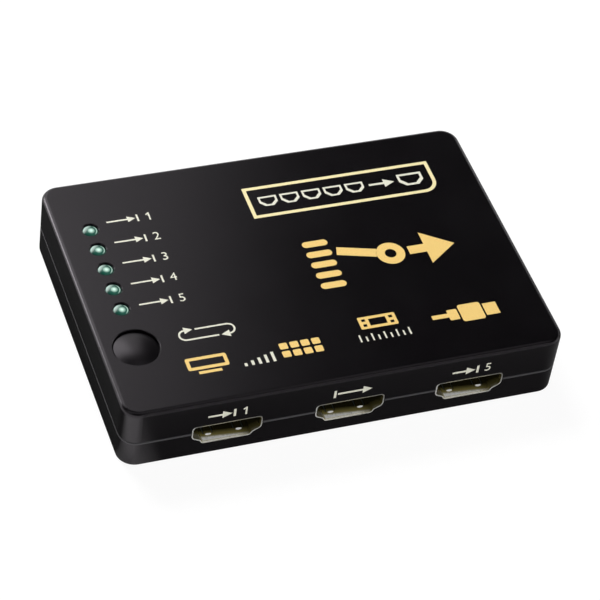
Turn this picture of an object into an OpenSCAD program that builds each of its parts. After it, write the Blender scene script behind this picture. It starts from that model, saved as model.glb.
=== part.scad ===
// Flat switch box: a two-part moulded housing around one circuit board that carries
// three video sockets on each long side, a push switch, five lamps and two side jacks.
// The origin is the middle of the base. The front is at -Y and the lamps are along -X.

/* [Housing] */
// Width of the housing, left to right
box_w = 94; // [90:1:120]
// Depth of the housing, front to back
box_d = 66; // [62:1:90]
// Height of the housing
box_h = 15; // [14:0.5:20]
// Radius of the four upright corners
corner_r = 3.8; // [2.6:0.1:6]
// Radius of the rolled top edge
top_edge_r = 1; // [0.4:0.1:1.2]
// Radius of the bottom edge
base_edge_r = 0.4; // [0.2:0.1:0.8]
// Radius of the lower shell's edge along the parting line
sill_r = 0.35; // [0.1:0.05:0.5]
// Radius of the upper shell's edge along the parting line
eave_r = 0.15; // [0.05:0.05:0.3]
// Thickness of the side walls
wall = 1.6; // [1.4:0.1:2]
// Thickness of the roof
roof_t = 1.6; // [1.2:0.1:2.2]
// Thickness of the floor
floor_t = 1.2; // [1:0.1:1.6]
// Height of the parting line above the table
seam_z = 6.6; // [6:0.1:7.4]
// Open groove between the two shells
seam_gap = 0.2; // [0.1:0.05:0.4]
// Height of the lower shell's locating lip
lip_h = 1.2; // [0.8:0.1:1.6]
// Thickness of the locating lip
lip_t = 0.7; // [0.5:0.1:0.9]
// Play between the lip and the upper shell
lip_clear = 0.1; // [0.05:0.05:0.2]

/* [Screws] */
// Distance of each screw from the two outer faces at its corner
screw_inset = 4.2; // [3.8:0.1:5]
// Diameter of the screw shank
screw_d = 2; // [1.6:0.1:2.5]
// Length of the shank under the head
screw_l = 8; // [6:0.5:10]
// Diameter of the screw head
screw_head_d = 3.8; // [3.4:0.1:4.4]
// Height of the screw head
screw_head_h = 1.3; // [1:0.1:1.6]
// Depth of the screw head below the base
screw_sink = 0.5; // [0.2:0.1:0.8]
// Gap around the screw in the lower shell
screw_clear = 0.2; // [0.1:0.05:0.3]
// Gap around the screw's thread in its post
thread_clear = 0.05; // [0.02:0.01:0.1]
// Length of the cross recess in the screw head
cross_l = 2.4; // [1.8:0.1:2.8]
// Width of the cross recess
cross_w = 0.5; // [0.4:0.05:0.8]
// Depth of the cross recess
cross_deep = 0.8; // [0.5:0.1:0.9]
// Wall of the screw posts around the shank
post_wall = 1.7; // [1.2:0.1:2]

/* [Board] */
// Thickness of the circuit board
board_t = 1.2; // [0.8:0.1:1.6]
// Space between the floor and the board
board_gap = 0.8; // [0.7:0.1:1.6]
// Space between the board's edge and the walls
board_clear = 0.4; // [0.2:0.1:0.8]
// Gap between the soldered ends and the floor
tail_clear = 0.2; // [0.1:0.05:0.4]
// Gap around a pin in its board hole
hole_clear = 0.2; // [0.1:0.05:0.3]
// Thickness of the ribs that hold the board
rib_t = 1.2; // [0.8:0.1:1.6]
// Distance of the floor ribs from the middle
rib_y = 12; // [8:0.5:14]
// Gap from the floor ribs' ends to the lamp leads and the jacks
rib_gap = 3; // [2:0.5:8]
// Diameter of the two board pins on the floor ribs
peg_d = 2; // [1.6:0.1:2.6]
// Distance of the board pins from the ribs' ends
peg_in = 3; // [2:0.5:10]
// Length of the hold-down ribs under the roof
hold_l = 5; // [3:0.5:7]
// Gap between the hold-down ribs and the walls
hold_gap = 0.3; // [0.2:0.1:0.6]

/* [Video sockets] */
// Distance between neighbouring sockets
socket_pitch = 26; // [22:0.5:28]
// Sideways place of the middle socket
socket_shift = 0.7; // [-2:0.1:2]
// Width of the socket opening
socket_w = 14; // [13.8:0.1:14.2]
// Height of the socket opening
socket_h = 4.55; // [4.4:0.05:4.7]
// Thickness of the folded sheet
sheet_t = 0.25; // [0.2:0.05:0.35]
// How far the mouth of the shell flares outwards
flare = 0.1; // [0.1:0.05:0.35]
// Depth of the flared mouth
flare_l = 0.5; // [0.4:0.1:0.8]
// Gap between the flared mouth and the housing
port_clear = 0.1; // [0.05:0.05:0.3]
// Depth of the mouth behind the wall's face
port_recess = 0.1; // [0:0.05:0.4]
// Width of the contact tongue
tongue_w = 11.4; // [11:0.1:11.8]
// Thickness of the contact tongue
tongue_t = 1.8; // [1.6:0.1:2]
// Free length of the contact tongue
tongue_l = 5.2; // [4.5:0.1:5.6]
// Depth of the tongue's tip behind the mouth
tongue_in = 2.2; // [1.4:0.1:2.6]
// Length of the insulator block behind the tongue
block_l = 3.2; // [2.5:0.1:4]
// Distance between neighbouring contacts
contact_pitch = 0.5; // [0.45:0.01:0.52]
// Width of one contact
contact_w = 0.28; // [0.2:0.02:0.34]
// Thickness of one contact
contact_t = 0.16; // [0.1:0.02:0.2]
// Width of the shell's solder legs
leg_w = 1.2; // [0.8:0.1:1.6]
// Width of the shell's spring tabs
tab_w = 1.6; // [1.2:0.1:2]
// Length of the shell's spring tabs
tab_l = 3.6; // [2.4:0.1:4]

/* [Lamps] */
// Distance between neighbouring lamps
lamp_pitch = 5.8; // [5:0.1:6.2]
// Distance of the last lamp from the back face
lamp_back = 14.4; // [12:0.1:16]
// Diameter of a lamp
lamp_d = 3.2; // [2.8:0.1:3.4]
// Length of a lamp from its flange to its tip
lamp_l = 5.3; // [4.6:0.1:5.6]
// Width of a lamp's flange
lamp_flange_d = 3.8; // [3.5:0.1:4.2]
// Thickness of a lamp's flange
lamp_flange_t = 1; // [0.6:0.1:1.4]
// Rise of a lamp's crown over its straight side
lamp_crown = 0.4; // [0.3:0.1:1.2]
// Depth of a lamp's tip below the roof
lamp_sink = 0; // [0:0.05:0.5]
// Gap around a lamp in the roof
lamp_clear = 0.1; // [0.05:0.05:0.2]
// Width of the countersink around a lamp
lamp_bevel = 0.2; // [0.2:0.1:0.8]
// Thickness of a lamp's leads
lead_t = 0.5; // [0.4:0.05:0.6]
// Distance between a lamp's two leads
lead_gap = 2.54; // [2:0.02:2.6]

/* [Select button] */
// Diameter of the button's cap
button_d = 9.1; // [8:0.1:10]
// Gap around the cap in the roof
button_clear = 0.25; // [0.15:0.05:0.4]
// Bevel around the button's hole
button_bevel = 0.15; // [0.1:0.05:0.3]
// Distance of the button's centre from the front face
button_front = 17.6; // [16:0.1:20]
// Depth of the cap's edge below the roof
button_sink = 0.5; // [0.4:0.1:1]
// Rise of the cap's crown over its edge
button_crown = 0.45; // [0.3:0.05:0.9]
// Width of the flange that keeps the cap in the roof
button_flange = 0.85; // [0.6:0.05:1.2]
// Thickness of the flange
button_flange_t = 0.8; // [0.6:0.1:1.2]
// Gap between the flange and the roof at rest
button_rest = 0.1; // [0.05:0.05:0.2]
// Gap between the flange and the side wall
button_side = 0.4; // [0.3:0.05:0.8]
// Thickness of the guide collar under the roof
collar_t = 1; // [0.8:0.1:1.4]
// Length of the guide collar
collar_l = 2; // [1.5:0.1:3]
// Diameter of the button's stem
stem_d = 3.2; // [2.6:0.1:3.4]
// Thickness of the stem's cross ribs
stem_rib_t = 1; // [0.6:0.1:1.4]
// Wall of the hollow cap
cap_t = 1; // [0.7:0.1:1.2]

/* [Push switch] */
// Width of the switch
tact_w = 6; // [5.6:0.1:6.4]
// Height of the switch base
tact_base_h = 3.1; // [2.8:0.1:3.4]
// Height of the switch from the board to the plunger's top
tact_h = 5; // [4.6:0.1:6]
// Thickness of the metal cover
tact_cover_t = 0.3; // [0.2:0.05:0.4]
// Diameter of the plunger
plunger_d = 3.5; // [3:0.1:3.6]
// Extra width of the plunger's collar
plunger_step = 0.4; // [0.3:0.05:0.5]
// Thickness of the plunger's collar
plunger_collar = 0.8; // [0.6:0.1:1]
// Running gap around the plunger
plunger_clear = 0.1; // [0.05:0.05:0.2]
// Floor under the snap dome
tact_floor = 0.8; // [0.6:0.1:1]
// Height of the snap dome
dome_h = 0.7; // [0.5:0.05:0.8]
// Thickness of the snap dome
dome_t = 0.1; // [0.06:0.02:0.14]
// Gap between the dome and the plunger
dome_clear = 0.05; // [0.02:0.01:0.1]
// Distance between the legs along the switch
tact_leg_gap = 4.5; // [4:0.1:4.8]
// Width of a leg
tact_leg_w = 0.7; // [0.5:0.1:0.9]
// Thickness of a leg
tact_leg_t = 0.3; // [0.2:0.05:0.4]

/* [Side jacks] */
// Depth of the jacks' mouths behind the wall's face
jack_recess = 0.1; // [0:0.05:0.4]
// Gap between a jack and the wall
jack_clear = 0.2; // [0.1:0.05:0.4]
// Sideways place of the power jack
power_y = -8; // [-10:0.5:-6]
// Width of the power jack
power_w = 6; // [5.6:0.1:6.6]
// Height of the power jack
power_h = 5.6; // [5.2:0.1:6]
// Length of the power jack behind the wall
power_l = 8.5; // [7.5:0.1:10]
// Diameter of the power jack's bore
power_bore_d = 3.7; // [3.5:0.05:3.9]
// Diameter of the power jack's nose
power_nose_d = 5.2; // [5:0.1:5.4]
// Diameter of the centre pin
power_pin_d = 1.3; // [1.1:0.05:1.4]
// Diameter of the centre pin's shank in the back wall
power_shank_d = 0.8; // [0.7:0.05:0.95]
// Depth of the centre pin's tip behind the mouth
power_pin_in = 1; // [0.5:0.1:2]
// Back wall of the power jack
power_back = 1.4; // [1:0.1:2]
// Sideways place of the sensor jack
sensor_y = 8; // [6:0.5:10]
// Width of the sensor jack
sensor_w = 6; // [5.8:0.1:6.6]
// Height of the sensor jack
sensor_h = 5; // [4.8:0.1:5.6]
// Length of the sensor jack behind the wall
sensor_l = 12; // [11:0.1:13]
// Diameter of the sensor jack's bore
sensor_bore_d = 3.6; // [3.5:0.05:3.7]
// Diameter of the sensor jack's nose
sensor_nose_d = 4.8; // [4.6:0.1:4.9]
// Back wall of the sensor jack
sensor_back = 1; // [0.8:0.1:1.4]
// Thickness of the jacks' springs
spring_t = 0.25; // [0.2:0.05:0.3]
// Width of the jacks' springs
spring_w = 1.4; // [1:0.1:1.6]
// Gap between a spring and the plug in the bore
spring_gap = 0.1; // [0.06:0.02:0.16]

/* [Chips] */
// Width of the switch chip
chip_w = 10; // [9:0.5:11]
// Thickness of the switch chip
chip_t = 1.4; // [1:0.1:1.6]
// Number of leads on each side of the switch chip
chip_leads = 16; // [8:1:16]
// Distance between the switch chip's leads
chip_pitch = 0.5; // [0.4:0.05:0.5]
// Length of the control chip
control_l = 9.9; // [9.6:0.1:10.4]
// Width of the control chip
control_w = 3.9; // [3.6:0.1:4.2]
// Thickness of the control chip
control_t = 1.5; // [1.2:0.1:1.7]
// Distance of the control chip from the middle
control_x = -20; // [-24:0.5:-14]
// Length of the regulator
regulator_l = 6.5; // [6:0.1:7]
// Width of the regulator
regulator_w = 3.5; // [3.2:0.1:3.8]
// Thickness of the regulator
regulator_t = 1.6; // [1.4:0.1:1.8]
// Distance of the regulator and the can to the right of the middle
supply_x = 25; // [22:0.5:27]
// Distance of the regulator and the can to the front and back of the middle
supply_y = 6; // [5:0.5:8]
// Diameter of the bulk capacitor's can
can_d = 6.3; // [5:0.1:6.6]
// Height of the bulk capacitor's can
can_h = 5.2; // [4.6:0.1:6]
// Thickness of the bulk capacitor's base
can_base_t = 0.8; // [0.5:0.1:1.2]
// Length of the small chip parts
chip_part_l = 1.6; // [1:0.1:2]
// Width of the small chip parts
chip_part_w = 0.8; // [0.5:0.05:1]
// Thickness of the chip capacitors
chip_cap_t = 0.8; // [0.5:0.05:0.9]
// Thickness of the chip resistors
chip_res_t = 0.45; // [0.35:0.05:0.6]
// Distance between neighbouring small chip parts
chip_part_pitch = 2.4; // [2.2:0.1:3]
// Gap between the small chip parts and what they stand beside
chip_part_gap = 1.5; // [0.8:0.1:2]

/* [Hidden] */
$fn = 48;
// Overlap of joined shapes, and overshoot of a cut past the face that it opens
eps = 0.05;
// Reach of a cut that passes right out of the part
far = 2 * (box_w + box_d);

// Levels of the stack, from the table up
board_z = floor_t + board_gap;
board_top = board_z + board_t;
tail_z = floor_t + tail_clear;
roof_z = box_h - roof_t;

// Screws and their posts
post_r = screw_d / 2 + post_wall;
base_post_r = post_r + screw_clear;
screw_seat = screw_sink + screw_head_h;

// Socket outline: rounded top corners, sloping shoulders, hollow waists and rounded feet
mouth_r = 0.6;
shoulder_r = 0.8;
shoulder_up = 2.175;
shoulder_a = 62;
shoulder_run = 1.2;
waist_r = 0.9;
flank_a = 25;
foot_r = 0.5;
arc_steps = 4;

// Socket levels from its centre, and lengths from its mouth inwards
socket_z = board_top + sheet_t + socket_h / 2;
socket_floor = -socket_h / 2 - sheet_t;
shoulder_z = shoulder_up - socket_h / 2;
tongue_z = 0.2;
tongue_nose = 0.4;
block_y = tongue_in + tongue_l;
block_end = block_y + block_l;
tail_space = 0.9;
tail_y = block_end + tail_space / 3;
tail_foot = 1.2;
tail_slot = 0.8;
socket_l = block_end + tail_space + sheet_t;
leg_front = 3;
leg_places = [leg_front, block_y + leg_w];

// Contacts, in two staggered rows on the tongue
contact_count = 19;
contact_clear = 0.02;
contact_groove = 0.08;
contact_y = tongue_in + tongue_nose;
contact_span = contact_count * contact_pitch;

// Spring tabs of the socket shell
tab_x = 3.2;
tab_y = 2;
tab_slot = 0.3;
tab_tilt = 5;

// Button and lamps share one line along the left wall
button_r = button_d / 2;
button_flange_r = button_r + button_flange;
collar_bore_r = button_flange_r + button_clear;
button_x = -box_w / 2 + wall + button_side + button_flange_r;
button_y = -box_d / 2 + button_front;
button_edge_z = box_h - button_sink;
flange_z = roof_z - button_rest - button_flange_t;
cup_r = button_r - cap_t;
cup_top = button_edge_z - cap_t;
crown_ball = (button_r * button_r + button_crown * button_crown) / (2 * button_crown);
lamp_count = 5;
lamp_x = button_x;
lamp_r = lamp_d / 2;
lamp_ball = (lamp_r * lamp_r + lamp_crown * lamp_crown) / (2 * lamp_crown);
lamp_z = box_h - lamp_sink - lamp_l;

// Push switch
tact_top = board_top + tact_h;
tact_cover_z = board_top + tact_base_h;
tact_pit_z = board_top + tact_floor;
tact_leg_top = board_top + tact_floor;
plunger_r = plunger_d / 2;
plunger_collar_r = plunger_r + plunger_step;
plunger_z = tact_cover_z - plunger_clear - plunger_collar;
nub_r = 0.9;
pit_r = plunger_collar_r + plunger_clear;
dome_r = pit_r - plunger_clear;
dome_ball = (dome_r * dome_r + dome_h * dome_h) / (2 * dome_h);

// Side jacks, with lengths from the mouth inwards
jack_front = wall + jack_clear - jack_recess;
power_z = board_top + power_h / 2;
power_end = jack_front + power_l;
power_bore_end = power_end - power_back;
power_spring_in = 1;
sensor_z = board_top + sensor_h / 2;
sensor_end = jack_front + sensor_l;
sensor_finger_h = 0.8;
sensor_springs = [[3.4, 1], [6.8, -1], [10.2, 1]];
spring_window = 0.4;

// Floor ribs run between the lamp leads and the longer jack
rib_x0 = lamp_x + lead_gap / 2 + rib_gap;
rib_x1 = box_w / 2 - jack_recess - max(power_end, sensor_end) - rib_gap;
pegs = [[rib_x0 + peg_in, -rib_y], [rib_x1 - peg_in, rib_y]];

// Chips and small parts
chip_stand = 0.1;
chip_mark_r = 0.5;
chip_mark_in = 1.2;
chip_mark_deep = 0.1;
chip_lead = [0.22, 0.15, 1];
control_lead = [0.4, 0.15, 1.1];
control_rows = 8;
control_pitch = 1.27;
control_mark_r = 0.6;
control_mark_deep = 0.2;
regulator_lead = [0.7, 0.15, 1.6];
regulator_tab = [3, 0.15, 1.6];
regulator_pitch = 2.3;
can_rim = 0.15;
can_base_w = can_d + 2 * can_rim;
can_groove_r = 0.5;
can_groove_deep = 0.3;
can_groove_z = 1.1;
cap_row_y = chip_w / 2 + chip_lead[2] + chip_part_gap + chip_part_w / 2;
res_row_y = box_d / 2 - port_recess - tail_y - tail_foot - chip_part_gap - chip_part_l / 2;

function arc(c, r, a0, a1) =
    [for (i = [0 : arc_steps]) let (a = a0 + (a1 - a0) * i / arc_steps) c + r * [cos(a), sin(a)]];

// Right half of the socket outline, grown outwards by g, from the top down
function socket_half(g) =
    let (
        top = [socket_w / 2 - mouth_r, socket_h / 2 - mouth_r],
        shoulder = [socket_w / 2 - shoulder_r, shoulder_z],
        slope = [-sin(shoulder_a), -cos(shoulder_a)],
        slope_side = [cos(shoulder_a), -sin(shoulder_a)],
        waist = shoulder + (shoulder_r + waist_r) * slope_side + shoulder_run * slope,
        flank = waist - waist_r * [cos(flank_a), -sin(flank_a)],
        foot_z = foot_r - socket_h / 2,
        drop = flank[1] - foot_z + foot_r * sin(flank_a),
        foot = [flank[0] - drop * tan(flank_a) - foot_r * cos(flank_a), foot_z]
    )
    concat(
        arc(top, mouth_r + g, 90, 0),
        arc(shoulder, shoulder_r + g, 0, -shoulder_a),
        arc(waist, waist_r - g, 180 - shoulder_a, 180 - flank_a),
        arc(foot, foot_r + g, -flank_a, -90)
    );

function socket_outline(g) =
    let (half = socket_half(g), n = len(half))
    concat(half, [for (i = [n - 1 : -1 : 0]) [-half[i][0], half[i][1]]]);

// Contact i, counted from the left: even ones lie on top of the tongue, odd ones below it
function contact_x(i) = (i - (contact_count - 1) / 2) * contact_pitch;
function contact_z(i) =
    i % 2 == 0
    ? tongue_z + tongue_t / 2 - contact_groove
    : tongue_z - tongue_t / 2 + contact_groove - contact_t;

// Extrudes an outline in x and z from y0 to y1
module along_y(y0, y1) {
    translate([0, y1, 0]) rotate([90, 0, 0]) linear_extrude(y1 - y0) children();
}

// Extrudes an outline in y and z across the middle
module across_x(w) {
    rotate([90, 0, 90]) linear_extrude(w, center = true) children();
}

// Round bar along x from x0 to x1
module bar_x(x0, x1, r) {
    translate([x0, 0, 0]) rotate([0, 90, 0]) cylinder(r = r, h = x1 - x0);
}

// Upright post from z0 to z1
module post(r, z0, z1) {
    translate([0, 0, z0]) cylinder(r = r, h = z1 - z0);
}

// Box between two opposite corners, grown by g on every side
module span(low, high, g = 0) {
    grow = [g, g, g];
    translate(low - grow) cube(high - low + 2 * grow);
}

module rounded_rect(w, d, r) {
    square([w - 2 * r, d], center = true);
    square([w, d - 2 * r], center = true);
    for (x = [-1, 1], y = [-1, 1])
        translate([x * (w / 2 - r), y * (d / 2 - r)]) circle(r);
}

// Upright slab whose sides lie inside the housing's faces by the given amount
module inset_slab(inset, z0, z1) {
    translate([0, 0, z0]) linear_extrude(z1 - z0)
        rounded_rect(box_w - 2 * inset, box_d - 2 * inset, corner_r - inset);
}

// Section of the given length and height, with its upper and lower edges rounded
module rolled_profile(length, h, upper, lower) {
    translate([-length / 2, lower]) square([length, h - upper - lower]);
    translate([upper - length / 2, h / 2]) square([length - 2 * upper, h / 2]);
    translate([lower - length / 2, 0]) square([length - 2 * lower, h / 2]);
    for (x = [-1, 1]) {
        translate([x * (length / 2 - upper), h - upper]) circle(upper);
        translate([x * (length / 2 - lower), lower]) circle(lower);
    }
}

// Block of the housing's outline, with round upright corners and rolled edges
module rolled_block(h, upper, lower) {
    run_w = box_w - 2 * corner_r;
    run_d = box_d - 2 * corner_r;
    across_x(run_w) rolled_profile(box_d, h, upper, lower);
    along_y(-run_d / 2, run_d / 2) rolled_profile(box_w, h, upper, lower);
    for (x = [-1, 1], y = [-1, 1])
        translate([x * run_w / 2, y * run_d / 2, 0]) rotate_extrude() intersection() {
            rolled_profile(2 * corner_r, h, upper, lower);
            square([corner_r, h]);
        }
}

module at_screws() {
    for (x = [0, 1], y = [0, 1]) mirror([x, 0, 0]) mirror([0, y, 0])
        translate([box_w / 2 - screw_inset, box_d / 2 - screw_inset, 0]) children();
}

// Socket places: the row is -1 at the front and 1 at the back, the column runs from left to right
module at_socket(row, column) {
    translate([socket_shift + column * socket_pitch, row * (box_d / 2 - port_recess), socket_z])
        rotate([0, 0, row > 0 ? 180 : 0]) children();
}

module at_sockets() {
    for (row = [-1, 1], column = [-1, 0, 1]) at_socket(row, column) children();
}

// Jack places in the right wall, with x measured from the mouth inwards
module at_power() {
    translate([box_w / 2 - jack_recess, power_y, power_z]) mirror([1, 0, 0]) children();
}

module at_sensor() {
    translate([box_w / 2 - jack_recess, sensor_y, sensor_z]) mirror([1, 0, 0]) children();
}

module at_lamp(i) {
    translate([lamp_x, box_d / 2 - lamp_back - i * lamp_pitch, lamp_z]) children();
}

module at_lamps() {
    for (i = [0 : lamp_count - 1]) at_lamp(i) children();
}

module at_button() {
    translate([button_x, button_y, 0]) children();
}

// Openings that both shells leave for the sockets and jacks
module wall_openings() {
    inner = wall + hold_gap;
    at_sockets() along_y(-far, inner) polygon(socket_outline(sheet_t + flare + port_clear));
    at_power() bar_x(-far, inner, power_nose_d / 2 + jack_clear);
    at_sensor() bar_x(-far, inner, sensor_nose_d / 2 + jack_clear);
}

// Upper half of the housing, with screw posts, hold-down ribs and the button's guide collar
module top_shell() color([0.06, 0.06, 0.065]) {
    rim_z = seam_z + seam_gap / 2;
    difference() {
        union() {
            difference() {
                translate([0, 0, rim_z]) rolled_block(box_h - rim_z, top_edge_r, eave_r);
                inset_slab(wall, 0, roof_z);
                inset_slab(wall - lip_t - lip_clear, 0, seam_z + lip_h + lip_clear);
            }
            at_screws() post(post_r, board_top, roof_z + eps);
            at_button() post(collar_bore_r + collar_t, roof_z - collar_l, roof_z + eps);
            hold_down_ribs();
        }
        at_screws() post(screw_d / 2 + thread_clear, 0, screw_seat + screw_l + screw_clear);
        at_button() post(button_r + button_clear, 0, far);
        at_button() post(collar_bore_r, 0, roof_z);
        at_button() translate([0, 0, box_h]) bevel_cut(button_r + button_clear, button_bevel);
        at_lamps() lamp_hole();
        wall_openings();
    }
}

// Ribs between the sockets that keep the board down on the floor ribs
module hold_down_ribs() {
    y1 = box_d / 2 - wall - hold_gap;
    for (x = [-1, 1], side = [0, 1]) mirror([0, side, 0])
        translate([socket_shift + x * socket_pitch / 2, 0, 0])
            span([-rib_t / 2, y1 - hold_l, board_top], [rib_t / 2, y1, roof_z + eps]);
}

// Hole of one lamp through the roof, with its countersink
module lamp_hole() {
    hole_r = lamp_r + lamp_clear;
    post(hole_r, 0, far);
    translate([0, 0, lamp_l + lamp_sink]) bevel_cut(hole_r, lamp_bevel);
}

// Cone that bevels the upper edge of a round hole by w
module bevel_cut(r, w) {
    translate([0, 0, -w]) cylinder(r1 = r, r2 = r + w + eps, h = w + eps);
}

// Lower half of the housing, with its locating lip, screw posts, floor ribs and board pins
module bottom_shell() color([0.06, 0.06, 0.065]) {
    difference() {
        union() {
            difference() {
                union() {
                    rolled_block(seam_z - seam_gap / 2, sill_r, base_edge_r);
                    difference() {
                        inset_slab(wall - lip_t, floor_t, seam_z + lip_h);
                        at_screws() post(post_r + lip_clear, floor_t, far);
                    }
                }
                inset_slab(wall, floor_t, far);
            }
            at_screws() post(base_post_r, floor_t - eps, board_top);
            for (y = [-rib_y, rib_y])
                span([rib_x0, y - rib_t / 2, floor_t - eps], [rib_x1, y + rib_t / 2, board_z]);
            for (p = pegs) translate(p) post(peg_d / 2, floor_t - eps, board_top + board_t / 2);
        }
        at_screws() post(screw_d / 2 + screw_clear, -eps, far);
        at_screws() post(screw_head_d / 2 + screw_clear, -eps, screw_seat);
        wall_openings();
    }
}

// Self-tapping screws, driven from below
module case_screws() color("dimgray") {
    at_screws() difference() {
        union() {
            post(screw_head_d / 2, screw_sink, screw_seat);
            post(screw_d / 2, screw_seat - eps, screw_seat + screw_l);
        }
        for (a = [0, 90]) rotate([0, 0, a])
            span([-cross_l / 2, -cross_w / 2, 0], [cross_l / 2, cross_w / 2, screw_sink + cross_deep]);
    }
}

// Hollow crowned cap with a retaining flange, and a ribbed stem down to the push switch
module select_button() color([0.05, 0.05, 0.055]) at_button() {
    difference() {
        union() {
            intersection() {
                post(button_r, flange_z, far);
                translate([0, 0, button_edge_z + button_crown - crown_ball]) sphere(crown_ball, $fn = 96);
            }
            post(button_flange_r, flange_z, flange_z + button_flange_t);
        }
        post(cup_r, flange_z - eps, cup_top);
    }
    post(stem_d / 2, tact_top, cup_top + eps);
    for (a = [0, 90]) rotate([0, 0, a])
        span([-cup_r - eps, -stem_rib_t / 2, flange_z], [cup_r + eps, stem_rib_t / 2, cup_top + eps]);
}

// Circuit board, cut away around the screw posts and drilled for every soldered end
module main_board() color("darkgreen") difference() {
    translate([0, 0, board_z]) linear_extrude(board_t)
        square([box_w - 2 * (wall + board_clear), box_d - 2 * (wall + board_clear)], center = true);
    at_screws() post_notch();
    for (p = pegs) translate(p) post((peg_d + hole_clear) / 2, 0, far);
    at_sockets() socket_legs(hole_clear);
    at_lamps() lamp_leads() circle(d = norm([lead_t, lead_t]) + hole_clear);
    at_button() tact_leg_bars(hole_clear);
    at_power() {
        power_pin_tail(hole_clear);
        power_spring_tail(hole_clear);
    }
    at_sensor() sensor_tails(hole_clear);
}

// Cut that clears one screw post and the board's corner beyond it
module post_notch() {
    notch = base_post_r + board_clear;
    post(notch, 0, far);
    span([0, -notch, 0], [far, far, far]);
    span([-notch, 0, 0], [far, far, far]);
}

// One lamp, standing on its flange, with a low crown and the flange's flat side
module lamp() color([0.1, 0.75, 0.35]) difference() {
    union() {
        post(lamp_flange_d / 2, 0, lamp_flange_t);
        intersection() {
            post(lamp_r, 0, lamp_l);
            translate([0, 0, lamp_l - lamp_ball]) sphere(lamp_ball);
        }
    }
    flat_x = (lamp_r + lamp_flange_d / 2) / 2;
    span([flat_x, -far, -eps], [far, far, lamp_flange_t + eps]);
}

// Extrudes a section along both leads of one lamp, from the lamp down through the board
module lamp_leads() {
    for (s = [-1, 1]) translate([s * lead_gap / 2, 0, tail_z - lamp_z])
        linear_extrude(lamp_z - tail_z) children();
}

module led_leads() color("lightgray") at_lamps() lamp_leads() square(lead_t, center = true);

// Solder legs of a socket shell, grown by g where the board is cut for them
module socket_legs(g) {
    for (x = [-1, 1], y = leg_places) translate([x * (socket_w + sheet_t) / 2, y, 0])
        span([-sheet_t / 2, 0, tail_z - socket_z], [sheet_t / 2, leg_w, shoulder_z], g);
}

// Folded sheet shell of a socket, with a flared mouth, four spring tabs and a closed back
module socket_shell() color("silver") {
    tail_reach = contact_span / 2 + sheet_t;
    slot = tab_w / 2 + tab_slot;
    difference() {
        union() {
            along_y(0, socket_l) polygon(socket_outline(sheet_t));
            along_y(0, flare_l) polygon(socket_outline(sheet_t + flare));
        }
        along_y(-eps, socket_l - sheet_t) polygon(socket_outline(0));
        along_y(-eps, flare_l - sheet_t) polygon(socket_outline(flare));
        at_tabs() span([-slot, 0, -sheet_t], [slot, tab_l + tab_slot, sheet_t]);
        span([-tail_reach, block_end, -far], [tail_reach, far, socket_floor + tail_slot]);
    }
    at_tabs() rotate([-tab_tilt, 0, 0])
        span([-tab_w / 2, -tab_slot, -sheet_t / 3], [tab_w / 2, tab_l, sheet_t / 3]);
    socket_legs(0);
}

// Places of the spring tabs in the shell's upper and lower walls
module at_tabs() {
    for (x = [-1, 1], side = [0, 1]) mirror([0, 0, side])
        translate([x * tab_x, tab_y, (socket_h + sheet_t) / 2]) children();
}

// Part of contact i that lies on the tongue, grown by g where the insulator is cut for it
module contact_strip(i, g) {
    x0 = contact_x(i) - contact_w / 2;
    z0 = contact_z(i);
    span([x0, contact_y, z0], [x0 + contact_w, tail_y + contact_t, z0 + contact_t], g);
}

// Moulded block that fills the shell's back, with the tongue that carries the contacts
module socket_insulator() color([0.09, 0.09, 0.09]) difference() {
    union() {
        along_y(block_y, block_end) polygon(socket_outline(-contact_clear));
        translate([0, 0, tongue_z]) across_x(tongue_w) tongue_profile();
    }
    for (i = [0 : contact_count - 1]) contact_strip(i, contact_clear);
}

// Side view of the tongue, with its bevelled nose
module tongue_profile() {
    half = tongue_t / 2;
    polygon([
        [tongue_in, half - tongue_nose], [tongue_in + tongue_nose, half], [block_y + eps, half],
        [block_y + eps, -half], [tongue_in + tongue_nose, -half], [tongue_in, tongue_nose - half]
    ]);
}

// Contacts of a socket: a strip on the tongue, a tail behind the block and a foot on the board
module socket_contacts() color("gold") {
    for (i = [0 : contact_count - 1]) {
        x0 = contact_x(i) - contact_w / 2;
        x1 = x0 + contact_w;
        contact_strip(i, 0);
        span([x0, tail_y, socket_floor], [x1, tail_y + contact_t, contact_z(i) + contact_t]);
        span([x0, tail_y, socket_floor], [x1, tail_y + tail_foot, socket_floor + contact_t]);
    }
}

// Base of the push switch, with the round pit for its dome and plunger
module tact_base() color([0.1, 0.1, 0.1]) at_button() difference() {
    translate([0, 0, board_top]) linear_extrude(tact_base_h) square(tact_w, center = true);
    post(pit_r, tact_pit_z, far);
}

module tact_cover() color("silver") at_button() difference() {
    translate([0, 0, tact_cover_z]) linear_extrude(tact_cover_t) square(tact_w, center = true);
    post(plunger_r + plunger_clear, 0, far);
}

// Snap dome, a thin spherical cap
module tact_dome() color("goldenrod") at_button() intersection() {
    translate([0, 0, tact_pit_z + dome_h - dome_ball]) difference() {
        sphere(dome_ball);
        sphere(dome_ball - dome_t);
    }
    post(pit_r, tact_pit_z, far);
}

module tact_plunger() color([0.15, 0.15, 0.15]) at_button() {
    post(plunger_r, plunger_z, tact_top);
    post(plunger_collar_r, plunger_z, plunger_z + plunger_collar);
    post(nub_r, tact_pit_z + dome_h + dome_clear, plunger_z + eps);
}

// Legs of the push switch, grown by g where the board is cut for them
module tact_leg_bars(g) {
    for (x = [-1, 1], y = [-1, 1]) translate([x * (tact_w + tact_leg_t) / 2, y * tact_leg_gap / 2, 0])
        span([-tact_leg_t / 2, -tact_leg_w / 2, tail_z], [tact_leg_t / 2, tact_leg_w / 2, tact_leg_top], g);
}

module tact_legs() color("lightgray") at_button() tact_leg_bars(0);

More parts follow.
